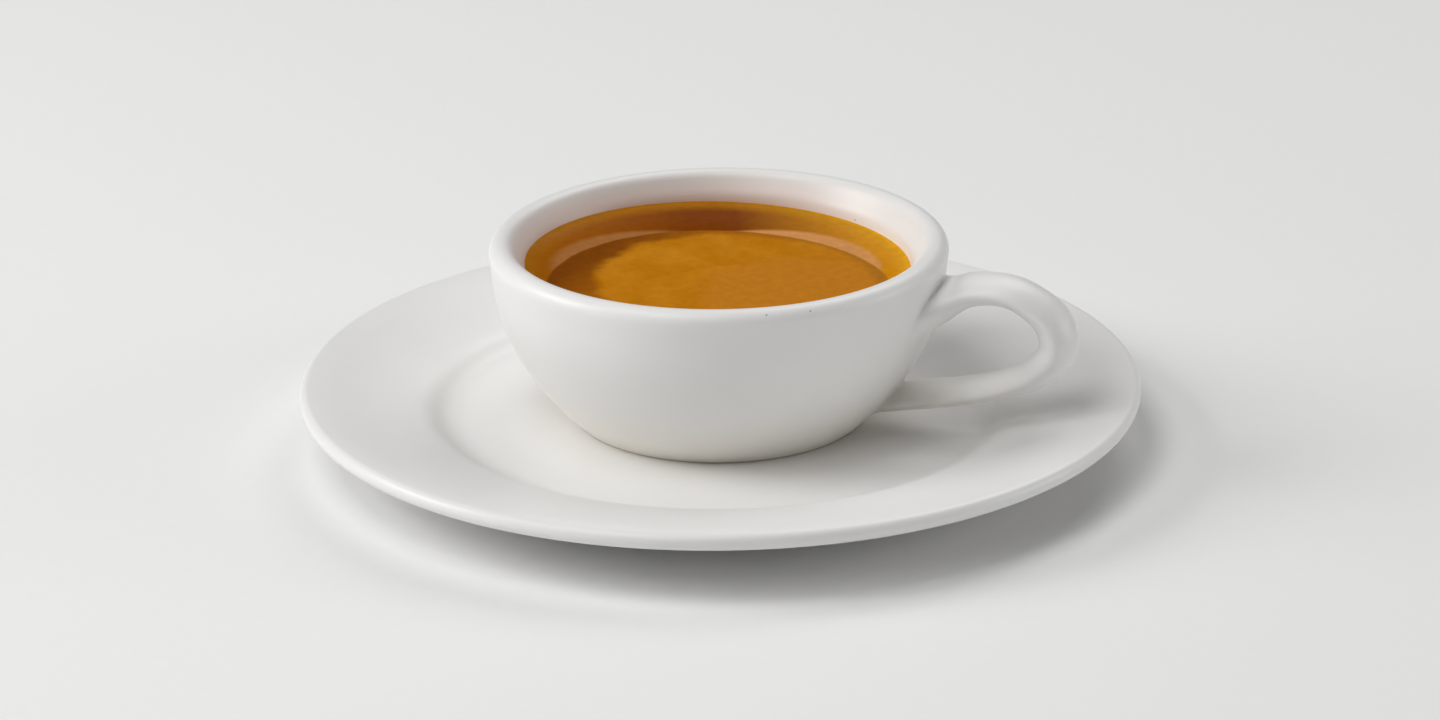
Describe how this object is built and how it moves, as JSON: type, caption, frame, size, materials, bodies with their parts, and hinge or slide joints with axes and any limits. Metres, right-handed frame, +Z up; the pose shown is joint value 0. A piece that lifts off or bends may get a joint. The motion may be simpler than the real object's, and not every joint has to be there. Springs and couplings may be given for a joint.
{
  "type": "cup of coffee on a saucer",
  "caption": "Low white porcelain cup of black coffee with golden crema, with an ear handle and a thick round lip, standing in the well of a wide-rimmed saucer.",
  "frame": {"origin": "on the table, under the middle of the saucer's foot ring", "axes": "+Z up along the cup's axis, +X towards the cup's handle"},
  "size_m": [0.16, 0.16, 0.0411],
  "materials": {
    "porcelain": "smooth clear-glazed white porcelain",
    "coffee": "wet black coffee under fine golden-brown crema"
  },
  "bodies": {
    "root": {"saucer": "porcelain", "cup": "porcelain", "coffee": "coffee"}
  },
  "joints": []
}
